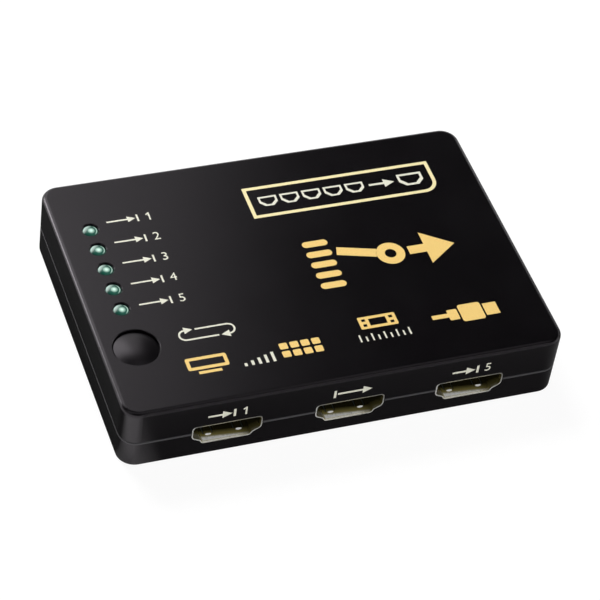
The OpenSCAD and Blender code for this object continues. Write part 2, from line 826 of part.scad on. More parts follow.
// Body of the power jack, with a round nose in the wall and a blind bore around the centre pin
module power_jack_body() color([0.08, 0.08, 0.08]) at_power() difference() {
    union() {
        span([jack_front, -power_w / 2, -power_h / 2], [power_end, power_w / 2, power_h / 2]);
        bar_x(0, jack_front + eps, power_nose_d / 2);
    }
    bar_x(-eps, power_bore_end, power_bore_d / 2);
    bar_x(0, far, power_shank_d / 2 + contact_clear);
    power_spring(spring_window, contact_clear);
}

// Centre pin, stepped down to a shank where it passes through the back wall
module power_jack_pin() color("gold") at_power() {
    bar_x(power_pin_in, power_bore_end - contact_clear, power_pin_d / 2);
    bar_x(power_pin_in, power_end + spring_t, power_shank_d / 2);
    power_pin_tail(0);
}

// Tail of the centre pin behind the jack's body
module power_pin_tail(g) {
    half = spring_w / 2;
    x0 = power_end + contact_clear;
    span([x0, -half, tail_z - power_z], [x0 + spring_t, half, power_pin_d / 2], g);
}

// Sleeve spring beside the power jack's bore, and its way out through the side of the body.
// The window is how far it reaches inwards, where the body is cut open to the bore.
module power_spring(window, g) {
    y0 = power_bore_d / 2 + spring_gap;
    y1 = power_w / 2 + spring_t;
    z0 = -spring_w / 2;
    x0 = power_bore_end - spring_w;
    span([jack_front + power_spring_in, y0 - window, z0], [power_bore_end, y0 + spring_t, -z0], g);
    span([x0, y0, z0], [power_bore_end, y1, z0 + spring_t], g);
}

module power_spring_tail(g) {
    x0 = power_bore_end - spring_w;
    z1 = spring_t - spring_w / 2;
    span([x0, power_w / 2, tail_z - power_z], [power_bore_end, power_w / 2 + spring_t, z1], g);
}

module power_jack_contacts() color("silver") at_power() {
    power_spring(0, 0);
    power_spring_tail(0);
}

// Body of the sensor jack, with a round nose in the wall and windows for its springs
module sensor_jack_body() color([0.08, 0.08, 0.08]) at_sensor() difference() {
    union() {
        span([jack_front, -sensor_w / 2, -sensor_h / 2], [sensor_end, sensor_w / 2, sensor_h / 2]);
        bar_x(0, jack_front + eps, sensor_nose_d / 2);
    }
    bar_x(-eps, sensor_end - sensor_back, sensor_bore_d / 2);
    sensor_tails(contact_clear);
    sensor_fingers(spring_gap - spring_window, contact_clear);
}

// Solder tails of the sensor jack's springs, let into the sides of the body
module sensor_tails(g) {
    w = spring_w / 2;
    t = spring_t / 2;
    for (s = sensor_springs) translate([s[0], s[1] * (sensor_w / 2 - t), 0])
        span([-w, -t, tail_z - sensor_z], [w, t, sensor_finger_h / 2], g);
}

// Fingers of the sensor jack's springs, from the tails in to the given gap from the bore
module sensor_fingers(gap, g) {
    w = spring_w / 2;
    h = sensor_finger_h / 2;
    for (s = sensor_springs) translate([s[0], 0, 0]) mirror([0, s[1] > 0 ? 0 : 1, 0])
        span([-w, sensor_bore_d / 2 + gap, -h], [w, (sensor_w - spring_t) / 2, h], g);
}

module sensor_jack_contacts() color("silver") at_sensor() {
    sensor_tails(0);
    sensor_fingers(spring_gap, 0);
}

// Gull-wing lead of width, thickness and reach, leaving a chip at x 0 with its foot on the board
module gull_lead(lead, rise) {
    half = lead[0] / 2;
    t = lead[1];
    knee = lead[2] / 3;
    span([0, -half, rise - t], [knee, half, rise]);
    span([knee - t, -half, 0], [knee, half, rise]);
    span([knee - t, -half, 0], [lead[2], half, t]);
}

// Moulded chip body standing off the board
module chip_body(w, l, t) {
    translate([0, 0, board_top + chip_stand]) linear_extrude(t) square([w, l], center = true);
}

module switch_chip() color([0.12, 0.12, 0.12]) difference() {
    chip_body(chip_w, chip_w, chip_t);
    corner = chip_mark_in - chip_w / 2;
    translate([corner, corner, 0]) post(chip_mark_r, board_top + chip_stand + chip_t - chip_mark_deep, far);
}

module switch_chip_leads() color("silver") translate([0, 0, board_top])
    for (side = [0 : 3], i = [0 : chip_leads - 1]) rotate([0, 0, 90 * side])
        translate([chip_w / 2, (i - (chip_leads - 1) / 2) * chip_pitch, 0])
            gull_lead(chip_lead, chip_stand + chip_t / 2);

module control_chip() color([0.12, 0.12, 0.12]) translate([control_x, 0, 0]) difference() {
    chip_body(control_w, control_l, control_t);
    translate([0, control_l / 2, 0])
        post(control_mark_r, board_top + chip_stand + control_t - control_mark_deep, far);
}

module control_chip_leads() color("silver") translate([control_x, 0, board_top])
    for (side = [0, 180], i = [0 : control_rows - 1]) rotate([0, 0, side])
        translate([control_w / 2, (i - (control_rows - 1) / 2) * control_pitch, 0])
            gull_lead(control_lead, chip_stand + control_t / 2);

module regulator() color([0.12, 0.12, 0.12]) translate([supply_x, -supply_y, 0])
    chip_body(regulator_w, regulator_l, regulator_t);

// Three leads on one side of the regulator and its wide tab on the other
module regulator_leads() color("silver") translate([supply_x, -supply_y, board_top]) {
    for (i = [-1, 0, 1]) translate([regulator_w / 2, i * regulator_pitch, 0])
        gull_lead(regulator_lead, chip_stand + regulator_t / 2);
    rotate([0, 0, 180]) translate([regulator_w / 2, 0, 0])
        gull_lead(regulator_tab, chip_stand + regulator_t / 2);
}

module bulk_capacitor_base() color([0.1, 0.1, 0.1]) translate([supply_x, supply_y, board_top])
    linear_extrude(can_base_t) square(can_base_w, center = true);

// Can of the bulk capacitor, with the groove that holds its seal
module bulk_capacitor() color("silver") translate([supply_x, supply_y, board_top + can_base_t])
    rotate_extrude() difference() {
        square([can_d / 2, can_h]);
        translate([can_d / 2 + can_groove_r - can_groove_deep, can_groove_z]) circle(can_groove_r);
    }

// Two rows of chip capacitors beside the switch chip
module chip_capacitors() color("tan") translate([0, 0, board_top])
    for (row = [-1, 1], i = [-2 : 2]) translate([i * chip_part_pitch, row * cap_row_y, 0])
        linear_extrude(chip_cap_t) square([chip_part_l, chip_part_w], center = true);

// Four chip resistors behind each socket
module chip_resistors() color([0.15, 0.15, 0.2]) translate([socket_shift, 0, board_top])
    for (row = [-1, 1], column = [-1, 0, 1], i = [-1.5 : 1.5])
        translate([column * socket_pitch + i * chip_part_pitch, row * res_row_y, 0])
            linear_extrude(chip_res_t) square([chip_part_w, chip_part_l], center = true);

module led_1() { at_lamp(0) lamp(); }
module led_2() { at_lamp(1) lamp(); }
module led_3() { at_lamp(2) lamp(); }
module led_4() { at_lamp(3) lamp(); }
module led_5() { at_lamp(4) lamp(); }

// Sockets in clockwise order from the front left, with the output in the middle of the front
module input1_shell() { at_socket(-1, -1) socket_shell(); }
module input1_insulator() { at_socket(-1, -1) socket_insulator(); }
module input1_contacts() { at_socket(-1, -1) socket_contacts(); }
module input2_shell() { at_socket(1, -1) socket_shell(); }
module input2_insulator() { at_socket(1, -1) socket_insulator(); }
module input2_contacts() { at_socket(1, -1) socket_contacts(); }
module input3_shell() { at_socket(1, 0) socket_shell(); }
module input3_insulator() { at_socket(1, 0) socket_insulator(); }
module input3_contacts() { at_socket(1, 0) socket_contacts(); }
module input4_shell() { at_socket(1, 1) socket_shell(); }
module input4_insulator() { at_socket(1, 1) socket_insulator(); }
module input4_contacts() { at_socket(1, 1) socket_contacts(); }
module input5_shell() { at_socket(-1, 1) socket_shell(); }
module input5_insulator() { at_socket(-1, 1) socket_insulator(); }
module input5_contacts() { at_socket(-1, 1) socket_contacts(); }
module output_shell() { at_socket(-1, 0) socket_shell(); }
module output_insulator() { at_socket(-1, 0) socket_insulator(); }
module output_contacts() { at_socket(-1, 0) socket_contacts(); }

top_shell();
bottom_shell();
case_screws();
select_button();
main_board();
led_1();
led_2();
led_3();
led_4();
led_5();
led_leads();
input1_shell();
input1_insulator();
input1_contacts();
input2_shell();
input2_insulator();
input2_contacts();
input3_shell();
input3_insulator();
input3_contacts();
input4_shell();
input4_insulator();
input4_contacts();
input5_shell();
input5_insulator();
input5_contacts();
output_shell();
output_insulator();
output_contacts();
tact_base();
tact_cover();
tact_dome();
tact_plunger();
tact_legs();
power_jack_body();
power_jack_pin();
power_jack_contacts();
sensor_jack_body();
sensor_jack_contacts();
switch_chip();
switch_chip_leads();
control_chip();
control_chip_leads();
regulator();
regulator_leads();
bulk_capacitor();
bulk_capacitor_base();
chip_capacitors();
chip_resistors();
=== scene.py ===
import math

import bpy
from mathutils import Matrix, Vector


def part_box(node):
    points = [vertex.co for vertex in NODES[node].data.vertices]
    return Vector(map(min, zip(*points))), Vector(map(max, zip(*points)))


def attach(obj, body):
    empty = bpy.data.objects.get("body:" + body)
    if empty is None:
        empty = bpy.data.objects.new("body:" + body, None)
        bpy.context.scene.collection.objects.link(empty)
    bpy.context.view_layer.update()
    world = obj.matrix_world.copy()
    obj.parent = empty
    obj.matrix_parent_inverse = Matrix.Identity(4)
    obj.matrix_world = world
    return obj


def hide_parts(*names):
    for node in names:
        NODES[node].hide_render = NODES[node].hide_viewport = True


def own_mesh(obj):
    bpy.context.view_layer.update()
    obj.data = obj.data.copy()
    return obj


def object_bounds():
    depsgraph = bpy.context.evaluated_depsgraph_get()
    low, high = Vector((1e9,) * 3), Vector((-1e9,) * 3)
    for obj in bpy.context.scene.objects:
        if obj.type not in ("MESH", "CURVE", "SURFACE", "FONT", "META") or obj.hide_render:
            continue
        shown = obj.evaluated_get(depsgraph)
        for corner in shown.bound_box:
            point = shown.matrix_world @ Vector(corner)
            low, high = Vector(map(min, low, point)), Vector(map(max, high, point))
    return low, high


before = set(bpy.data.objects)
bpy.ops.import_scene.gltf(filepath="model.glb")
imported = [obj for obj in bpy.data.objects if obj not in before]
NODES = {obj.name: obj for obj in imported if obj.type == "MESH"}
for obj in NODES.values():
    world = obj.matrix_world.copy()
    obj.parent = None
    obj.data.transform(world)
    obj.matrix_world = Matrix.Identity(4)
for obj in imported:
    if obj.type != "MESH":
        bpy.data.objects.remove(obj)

bl_info = {
    "name": "Video switch box looks",
    "version": (1, 0, 0),
    "blender": (4, 5, 0),
    "location": "View3D > Sidebar > Switch box",
    "description": "Finishes, printed marks, lights and camera for a flat video switch box",
    "category": "Object",
}

MM = 0.001
CAD_LOW, CAD_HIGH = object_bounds()
SOCKETS = ("input1", "input2", "input3", "input4", "input5", "output")
LAMPS = ("led_1", "led_2", "led_3", "led_4", "led_5")
PLASTIC_ROUGH = (0.242, 0.262)
GRAIN_DEPTH = 0.002 * MM
STREAK_DEPTH = 0.002 * MM
DULL_SHADE = 0.8          # dull spots of a metal, as a share of its colour
THIN_SHADE = 0.82         # thin ink, as a share of its colour
LENS_SHARE = 3.2 / 3.8    # lens of a lamp, as a share of its flange
LAMP_CUP = (0.12, -0.1, 0)        # reflector cup of a lamp, from its axis in lens radii
LAMP_BEHIND = (-0.64, 0.77, 0)    # way from a lamp's axis to its painted reflection
TAB_X = 3.2 * MM          # spring tabs of a socket, from its middle
TAB_BEND = 1.9 * MM       # bend of a spring tab, behind the mouth
LIP_SLANT = 0.0875        # painted light: how much less of the lip and of the gold reflection is bright for each length to the right


def centre(node):
    """Middle of a CAD node's box, in metres."""
    low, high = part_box(node)
    return (low + high) / 2


# Settings

class HousingSettings(bpy.types.PropertyGroup):
    """Moulded plastic of the two shells and the button."""
    plastic: bpy.props.FloatVectorProperty(
        name="Plastic", description="Colour of the moulded housing", subtype="COLOR",
        default=(0.0007, 0.0004, 0.0008), min=0, max=1)
    bloom: bpy.props.FloatVectorProperty(
        name="Bloom", description="Colour of the faint haze on the plastic", subtype="COLOR",
        default=(0.0012, 0.0009, 0.0014), min=0, max=1)
    grain: bpy.props.FloatProperty(
        name="Grain", description="Grain cells in a millimetre of the moulded surface",
        default=5.0, min=0.5, max=20)
    gloss: bpy.props.FloatProperty(
        name="Gloss", description="Strength of the plastic's reflections", subtype="FACTOR",
        default=0.5, min=0, max=1)
    sheen: bpy.props.FloatVectorProperty(
        name="Sheen", description="Tint of the plastic's reflections", subtype="COLOR",
        default=(1.0, 0.92, 1.0), min=0, max=1)
    # Sill: painted highlight, a lighter band on the lower shell's upper edge at the parting line that stands
    # in for light caught there.
    sill: bpy.props.FloatVectorProperty(
        name="Sill", description="Colour of the rubbed edge at the parting line", subtype="COLOR",
        default=(0.05, 0.05, 0.052), min=0, max=1)


class LampSettings(bpy.types.PropertyGroup):
    """Domed indicator lamps."""
    resin: bpy.props.FloatVectorProperty(
        name="Resin", description="Colour of the lamp's resin at its rim", subtype="COLOR",
        default=(0.002, 0.032, 0.022), min=0, max=1)
    body: bpy.props.FloatVectorProperty(
        name="Body", description="Colour of the resin around the reflector cup", subtype="COLOR",
        default=(0.014, 0.1, 0.068), min=0, max=1)
    core: bpy.props.FloatVectorProperty(
        name="Core", description="Colour of the lens over the reflector cup", subtype="COLOR",
        default=(0.5, 0.7, 0.6), min=0, max=1)
    # Painted reflection: a lighter colour towards the back left of each lens stands in for a reflection on
    # the dome, and glows with the lens.
    painted_gleam: bpy.props.FloatVectorProperty(
        name="Gleam", description="Colour of the lit wall behind the reflector cup", subtype="COLOR",
        default=(0.38, 0.5, 0.45), min=0, max=1)
    glow: bpy.props.FloatProperty(
        name="Glow", description="Strength of the light in the lens", default=0.45, min=0, max=5)


class MetalSettings(bpy.types.PropertyGroup):
    """Metal of the sockets, contacts and leads."""
    sheet: bpy.props.FloatVectorProperty(
        name="Sheet", description="Colour of the sockets' plated sheet", subtype="COLOR",
        default=(0.93, 0.93, 0.92), min=0, max=1)
    # Throat: painted reflection of the gold contacts on the sockets' floor behind the mouth; further in it
    # darkens as painted shade.
    throat_reflection: bpy.props.FloatVectorProperty(
        name="Throat", description="Colour of the sockets' sheet behind the mouth", subtype="COLOR",
        default=(0.5, 0.43, 0.14), min=0, max=1)
    contact: bpy.props.FloatVectorProperty(
        name="Contact", description="Colour of the plated contacts", subtype="COLOR",
        default=(0.82, 0.6, 0.24), min=0, max=1)
    tin: bpy.props.FloatVectorProperty(
        name="Tin", description="Colour of tinned leads and tails", subtype="COLOR",
        default=(0.66, 0.66, 0.64), min=0, max=1)


class PrintSettings(bpy.types.PropertyGroup):
    """Inks of the printed marks."""
    gold: bpy.props.FloatVectorProperty(
        name="Gold", description="Colour of the bold marks", subtype="COLOR",
        default=(0.95, 0.66, 0.22), min=0, max=1)
    pale_gold: bpy.props.FloatVectorProperty(
        name="Pale gold", description="Colour of the line frame", subtype="COLOR",
        default=(0.95, 0.84, 0.47), min=0, max=1)
    cream: bpy.props.FloatVectorProperty(
        name="Cream", description="Colour of the fine marks", subtype="COLOR",
        default=(0.82, 0.81, 0.68), min=0, max=1)
    thickness: bpy.props.FloatProperty(
        name="Thickness", description="Thickness of the ink", subtype="DISTANCE", unit="LENGTH",
        default=0.02 * MM, min=0, precision=6)


class StageSettings(bpy.types.PropertyGroup):
    """Floor, lights and camera."""
    floor: bpy.props.FloatVectorProperty(
        name="Floor", description="Colour of the floor", subtype="COLOR",
        default=(0.9, 0.9, 0.9), min=0, max=1)
    ambient: bpy.props.FloatProperty(
        name="Ambient", description="Strength of the light from all around", default=0.015, min=0, max=2)
    azimuth: bpy.props.FloatProperty(
        name="Azimuth", description="Direction of the camera round the box", subtype="ANGLE",
        default=math.radians(-25.178))
    elevation: bpy.props.FloatProperty(
        name="Elevation", description="Height of the camera over the horizon", subtype="ANGLE",
        default=math.radians(45.345))
    roll: bpy.props.FloatProperty(
        name="Roll", description="Turn of the camera about its own axis", subtype="ANGLE",
        default=math.radians(9.029))
    distance: bpy.props.FloatProperty(
        name="Distance", description="Distance of the camera from the box", subtype="DISTANCE",
        unit="LENGTH", default=549.62 * MM)
    aside: bpy.props.FloatProperty(
        name="Aside", description="Sideways place of the camera", subtype="DISTANCE",
        unit="LENGTH", default=1.807 * MM)
    above: bpy.props.FloatProperty(
        name="Above", description="Upward place of the camera", subtype="DISTANCE",
        unit="LENGTH", default=2.764 * MM)
    lens: bpy.props.FloatProperty(
        name="Lens", description="Focal length in millimetres on a 36 mm sensor", default=156.25)


class SwitchBoxSettings(bpy.types.PropertyGroup):
    """All settings of the switch box."""
    housing: bpy.props.PointerProperty(type=HousingSettings)
    lamps: bpy.props.PointerProperty(type=LampSettings)
    metal: bpy.props.PointerProperty(type=MetalSettings)
    marks: bpy.props.PointerProperty(type=PrintSettings)
    stage: bpy.props.PointerProperty(type=StageSettings)


# Shader trees

class Tree:
    """Short calls that add and link the nodes of one shader tree."""

    def __init__(self, tree):
        self.tree = tree

    def add(self, kind, values=None, **settings):
        node = self.tree.nodes.new(kind)
        for name, value in settings.items():
            setattr(node, name, value)
        for name, value in (values or {}).items():
            self.feed(node.inputs[name], value)
        return node

    def feed(self, socket, value):
        """Links an output to the socket, or sets the socket to a plain value."""
        if isinstance(value, bpy.types.NodeSocket):
            self.tree.links.new(value, socket)
        else:
            socket.default_value = value

    def group(self, group, values=None):
        return self.add("ShaderNodeGroup", values, node_tree=group)

    def math(self, operation, *values):
        """Result of one sum."""
        return self.add("ShaderNodeMath", dict(enumerate(values)), operation=operation).outputs[0]

    def mix(self, factor, first, second):
        """Blend of two colours."""
        node = self.add("ShaderNodeMix", data_type="RGBA")
        self.feed(node.inputs[0], factor)
        self.feed(node.inputs[6], first)
        self.feed(node.inputs[7], second)
        return node.outputs[2]

    def spread(self, value, low, high, to_low, to_high):
        """Value moved from one range to another."""
        node = self.add("ShaderNodeMapRange", {
            "Value": value, "From Min": low, "From Max": high, "To Min": to_low, "To Max": to_high})
        return node.outputs["Result"]


def rgba(colour):
    return (*colour, 1.0)


def new_group(name, inputs, outputs):
    """Empty shader group with float outputs, and float inputs that are given with their defaults."""
    group = bpy.data.node_groups.new(name, "ShaderNodeTree")
    for label, default in inputs.items():
        socket = group.interface.new_socket(label, in_out="INPUT", socket_type="NodeSocketFloat")
        socket.default_value = default
    for label in outputs:
        group.interface.new_socket(label, in_out="OUTPUT", socket_type="NodeSocketFloat")
    tree = Tree(group)
    return group, tree, tree.add("NodeGroupInput"), tree.add("NodeGroupOutput")


def shared(name, build):
    """Shader group of that name, built on its first use."""
    return bpy.data.node_groups.get(name) or build(name)


def build_grain(name):
    """Spark-eroded mould grain: fine bumps, and slow patches where the mould is smoother."""
    group, tree, into, out = new_group(name, {"Cells": 5.0}, ("Height", "Patches"))
    place = tree.add("ShaderNodeTexCoord").outputs["Object"]
    per_metre = tree.math("MULTIPLY", into.outputs["Cells"], 1 / MM)
    fine = tree.add("ShaderNodeTexNoise", {
        "Vector": place, "Scale": per_metre, "Detail": 2.0, "Roughness": 0.55})
    slow = tree.add("ShaderNodeTexNoise", {"Vector": place, "Scale": 90.0, "Detail": 3.0, "Roughness": 0.6})
    tree.feed(out.inputs["Height"], fine.outputs["Fac"])
    tree.feed(out.inputs["Patches"], slow.outputs["Fac"])
    return group


def build_rolling(name):
    """Rolled sheet: streaks along one way, and small dull spots."""
    group, tree, into, out = new_group(name, {"Streaks": 3000.0, "Spots": 1500.0}, ("Streak", "Spot"))
    place = tree.add("ShaderNodeTexCoord").outputs["Object"]
    drawn = tree.add("ShaderNodeMapping", {"Vector": place, "Scale": (1.0, 0.08, 1.0)})
    streak = tree.add("ShaderNodeTexNoise", {
        "Vector": drawn.outputs["Vector"], "Scale": into.outputs["Streaks"], "Detail": 3.0})
    spot = tree.add("ShaderNodeTexNoise", {
        "Vector": place, "Scale": into.outputs["Spots"], "Detail": 2.0})
    tree.feed(out.inputs["Streak"], streak.outputs["Fac"])
    tree.feed(out.inputs["Spot"], spot.outputs["Fac"])
    return group


def new_material(name):
    """Material with one Principled shader, as its tree and that shader."""
    material = bpy.data.materials.new(name)
    material.use_nodes = True
    material.node_tree.nodes.clear()
    tree = Tree(material.node_tree)
    shader = tree.add("ShaderNodeBsdfPrincipled")
    output = tree.add("ShaderNodeOutputMaterial")
    tree.feed(output.inputs["Surface"], shader.outputs["BSDF"])
    return material, tree, shader


def along(tree, axis):
    """Coordinate of the shaded point along one axis of the box."""
    place = tree.add("ShaderNodeTexCoord").outputs["Object"]
    return tree.add("ShaderNodeSeparateXYZ", {0: place}).outputs[axis]


def plastic(name, colour, bloom, gloss, cells, edge=None):
    """Moulded plastic with a fine grain, faint cloudy patches and, if given, a painted highlight along its
    upper edge.
    """
    material, tree, shader = new_material(name)
    grain = tree.group(shared("Mould grain", build_grain), {"Cells": cells})
    patches = tree.spread(grain.outputs["Patches"], 0.35, 0.7, 0.0, 1.0)
    tint = tree.mix(patches, rgba(colour), rgba(bloom))
    if edge:
        height, highlighted = edge
        # Painted highlight: a thin band just under the parting height takes the sill colour.
        mask = tree.spread(along(tree, "Z"), height - 0.1 * MM, height - 0.06 * MM, 0.0, 1.0)
        tint = tree.mix(mask, tint, rgba(highlighted))
    tree.feed(shader.inputs["Base Color"], tint)
    tree.feed(shader.inputs["Roughness"], tree.spread(grain.outputs["Patches"], 0.3, 0.7, *PLASTIC_ROUGH))
    shader.inputs["Specular IOR Level"].default_value = gloss
    bump = tree.add("ShaderNodeBump", {
        "Strength": 0.5, "Distance": GRAIN_DEPTH, "Height": grain.outputs["Height"]})
    tree.feed(shader.inputs["Normal"], bump.outputs["Normal"])
    return material


def plating(tree, shader, colour, rough, facing=None):
    """Tint and roughness of rolled metal, whose streaks are also its bumps."""
    rolled = tree.group(shared("Rolled metal", build_rolling))
    dull = rgba([c * DULL_SHADE for c in colour])
    bump = tree.add("ShaderNodeBump", {
        "Strength": 0.15, "Distance": STREAK_DEPTH, "Height": rolled.outputs["Streak"]})
    if facing:
        tree.feed(bump.inputs["Normal"], facing)
    tree.feed(shader.inputs["Normal"], bump.outputs["Normal"])
    tint = tree.mix(tree.spread(rolled.outputs["Spot"], 0.45, 0.75, 0.0, 1.0), rgba(colour), dull)
    return tint, tree.spread(rolled.outputs["Streak"], 0.3, 0.7, *rough)


def metal(name, colour, rough=(0.2, 0.34)):
    """Plated sheet or wire with rolling streaks and dull spots."""
    material, tree, shader = new_material(name)
    tint, dullness = plating(tree, shader, colour, rough)
    shader.inputs["Metallic"].default_value = 1.0
    tree.feed(shader.inputs["Base Color"], tint)
    tree.feed(shader.inputs["Roughness"], dullness)
    return material


def socket_sheet(name, colour, reflected_gold, middle, pitch):
    """Sheet of the sockets: pale rim and lip with painted shade towards the top, painted glints on the tab
    bends, and a painted gold reflection on the floor that darkens inwards as painted shade.
    """
    material, tree, shader = new_material(name)
    mouth = CAD_HIGH.y
    rim_range = (mouth - 0.15 * MM, mouth - 0.08 * MM)
    lip_range = (mouth - 1.3 * MM, mouth - 0.7 * MM)
    gold_range = (mouth - 2.6 * MM, mouth - 1.4 * MM)
    top_range = (4.5 * MM, 7.5 * MM)
    bend_width, bend_depth, bend_turn = 0.75 * MM, 0.34 * MM, 1.5
    reach = tree.math("ABSOLUTE", along(tree, "Y"))
    across = tree.math("WRAP", tree.math("SUBTRACT", along(tree, "X"), middle), pitch / 2, -pitch / 2)
    slant = tree.math("SUBTRACT", reach, tree.math("MULTIPLY", across, LIP_SLANT))
    facing = tree.add("ShaderNodeNewGeometry").outputs["Normal"]
    up = tree.add("ShaderNodeSeparateXYZ", {0: facing}).outputs["Z"]
    floor = tree.spread(up, 0.6, 0.95, 0.0, 1.0)
    # Painted light: the lip and the gold reflection stay bright in the middle of each socket and dim towards
    # the right and at the far left.
    lit = tree.math("MULTIPLY", tree.spread(across, 2.5 * MM, 5.5 * MM, 1.0, 0.2),
                    tree.spread(across, -5.6 * MM, -5.0 * MM, 0.2, 1.0))
    # The lip is the pale plated sheet, made less metallic so it takes diffuse light; how far in it is pale is
    # painted light, narrower towards the right.
    lip = tree.math("MULTIPLY", tree.spread(slant, *lip_range, 0.0, 1.0), lit)
    # Painted glint: a pale, less metallic spot on the floor at each tab bend stands in for a highlight there;
    # its normals are also turned outwards.
    aside = tree.math("SUBTRACT", tree.math("ABSOLUTE", across), TAB_X)
    inward = tree.math("SUBTRACT", reach, mouth - TAB_BEND)
    away = tree.math("ADD", tree.math("POWER", tree.math("DIVIDE", aside, bend_width), 2.0),
                     tree.math("POWER", tree.math("DIVIDE", inward, bend_depth), 2.0))
    bend = tree.math("MULTIPLY", floor, tree.spread(away, 0.35, 1.0, 1.0, 0.0))
    turning = tree.math("MULTIPLY", bend, bend_turn)
    outward = tree.math("MULTIPLY", tree.math("SIGN", along(tree, "Y")), turning)
    lean = tree.add("ShaderNodeCombineXYZ", {1: outward}).outputs[0]
    turned = tree.add("ShaderNodeVectorMath", {0: facing, 1: lean}, operation="ADD").outputs[0]
    turned = tree.add("ShaderNodeVectorMath", {0: turned}, operation="NORMALIZE").outputs[0]
    tint, dullness = plating(tree, shader, colour, (0.26, 0.4), turned)
    rim = tree.spread(reach, *rim_range, 0.0, 1.0)
    # Pale: the plated rim, the lip and the painted glints.
    pale = tree.math("MAXIMUM", tree.math("MAXIMUM", rim, tree.math("MULTIPLY", floor, lip)), bend)
    # Painted shade: the pale parts darken towards the top of the sockets, except at their far left edge.
    shaded = tree.math("MAXIMUM", tree.spread(along(tree, "Z"), *top_range, 1.0, 0.25),
                       tree.spread(across, -7.0 * MM, -6.6 * MM, 1.0, 0.0))
    tint = tree.mix(shaded, rgba([c * 0.1 for c in colour]), tint)
    # Painted shade: the painted gold reflection darkens to near black further in, towards the right and at
    # the far left.
    fade = tree.math("MULTIPLY", tree.spread(slant, *gold_range, 0.0, 1.0), lit)
    inner = tree.mix(fade, rgba([c * 0.06 for c in reflected_gold]), rgba(reflected_gold))
    tree.feed(shader.inputs["Base Color"], tree.mix(pale, inner, tint))
    tree.feed(shader.inputs["Roughness"],
              tree.math("MULTIPLY", dullness, tree.spread(pale, 0.0, 1.0, 0.5, 1.0)))
    tree.feed(shader.inputs["Metallic"], tree.spread(pale, 0.0, 1.0, 0.6, 0.15))
    return material


def ink(name, colour):
    """Screen-printed ink, a little thinner in patches."""
    material, tree, shader = new_material(name)
    grain = tree.group(shared("Mould grain", build_grain), {"Cells": 4.0})
    thin = rgba([c * THIN_SHADE for c in colour])
    tree.feed(shader.inputs["Base Color"], tree.mix(
        tree.spread(grain.outputs["Height"], 0.4, 0.75, 0.0, 1.0), rgba(colour), thin))
    tree.feed(shader.inputs["Roughness"], tree.spread(grain.outputs["Patches"], 0.3, 0.7, 0.32, 0.45))
    return material


def lamp_resin(name, axis, radius, look):
    """Tinted resin: a bright lens over the glowing reflector cup, a painted reflection towards the back left,
    and a painted bright crescent on the right of the rim.
    """
    material, tree, shader = new_material(name)
    place = tree.add("ShaderNodeTexCoord").outputs["Object"]
    unit = tree.add("ShaderNodeMapping", {
        "Vector": place, "Location": (-axis.x / radius, -axis.y / radius, 0),
        "Scale": (1 / radius, 1 / radius, 0)}).outputs["Vector"]
    cup = tree.add("ShaderNodeVectorMath", {0: unit, 1: LAMP_CUP}, operation="DISTANCE")
    rim = tree.add("ShaderNodeVectorMath", {0: unit}, operation="LENGTH")
    core = tree.spread(cup.outputs["Value"], 0.1, 0.5, 1.0, 0.0)
    body = tree.spread(cup.outputs["Value"], 0.3, 0.85, 1.0, 0.0)
    # Painted highlight: a thin bright crescent in the core colour near the rim, on the right side of the
    # lens.
    side = tree.spread(tree.add("ShaderNodeSeparateXYZ", {0: unit}).outputs["X"], 0.4, 0.75, 0.0, 0.7)
    ring = tree.spread(rim.outputs["Value"], 0.76, 0.84, 0.0, 1.0)
    edge = tree.spread(rim.outputs["Value"], 0.88, 0.96, 1.0, 0.0)
    painted_crescent = tree.math("MULTIPLY", tree.math("MULTIPLY", ring, edge), side)
    # Painted reflection towards the back left of the lens, out to its edge.
    behind = tree.add("ShaderNodeVectorMath", {0: unit, 1: LAMP_BEHIND}, operation="DOT_PRODUCT")
    painted_gleam = tree.math("MULTIPLY", tree.spread(behind.outputs["Value"], 0.25, 0.8, 0.0, 1.0), edge)
    tint = tree.mix(body, rgba(look.resin), rgba(look.body))
    tint = tree.mix(painted_gleam, tint, rgba(look.painted_gleam))
    tint = tree.mix(core, tint, rgba(look.core))
    tint = tree.mix(painted_crescent, tint, rgba(look.core))
    grain = tree.group(shared("Mould grain", build_grain), {"Cells": 2.0})
    tree.feed(shader.inputs["Base Color"], tint)
    # The whole tint glows, so the painted reflection and the painted crescent glow along with the lit core.
    tree.feed(shader.inputs["Emission Color"], tint)
    shader.inputs["Emission Strength"].default_value = look.glow
    tree.feed(shader.inputs["Roughness"], tree.spread(grain.outputs["Patches"], 0.3, 0.7, 0.2, 0.3))
    shader.inputs["Specular IOR Level"].default_value = 0.5
    return material


def laminate(name):
    """Solder mask over copper tracks."""
    material, tree, shader = new_material(name)
    place = tree.add("ShaderNodeTexCoord").outputs["Object"]
    tracks = tree.add("ShaderNodeTexVoronoi", {"Vector": place, "Scale": 260.0}, distance="MANHATTAN")
    copper = tree.spread(tracks.outputs["Distance"], 0.35, 0.45, 0.0, 1.0)
    tree.feed(shader.inputs["Base Color"], tree.mix(
        copper, rgba((0.008, 0.01, 0.01)), rgba((0.016, 0.021, 0.02))))
    grain = tree.group(shared("Mould grain", build_grain), {"Cells": 3.0})
    tree.feed(shader.inputs["Roughness"], tree.spread(grain.outputs["Patches"], 0.3, 0.7, 0.3, 0.42))
    bump = tree.add("ShaderNodeBump", {"Strength": 0.4, "Distance": 0.03 * MM, "Height": copper})
    tree.feed(shader.inputs["Normal"], bump.outputs["Normal"])
    return material


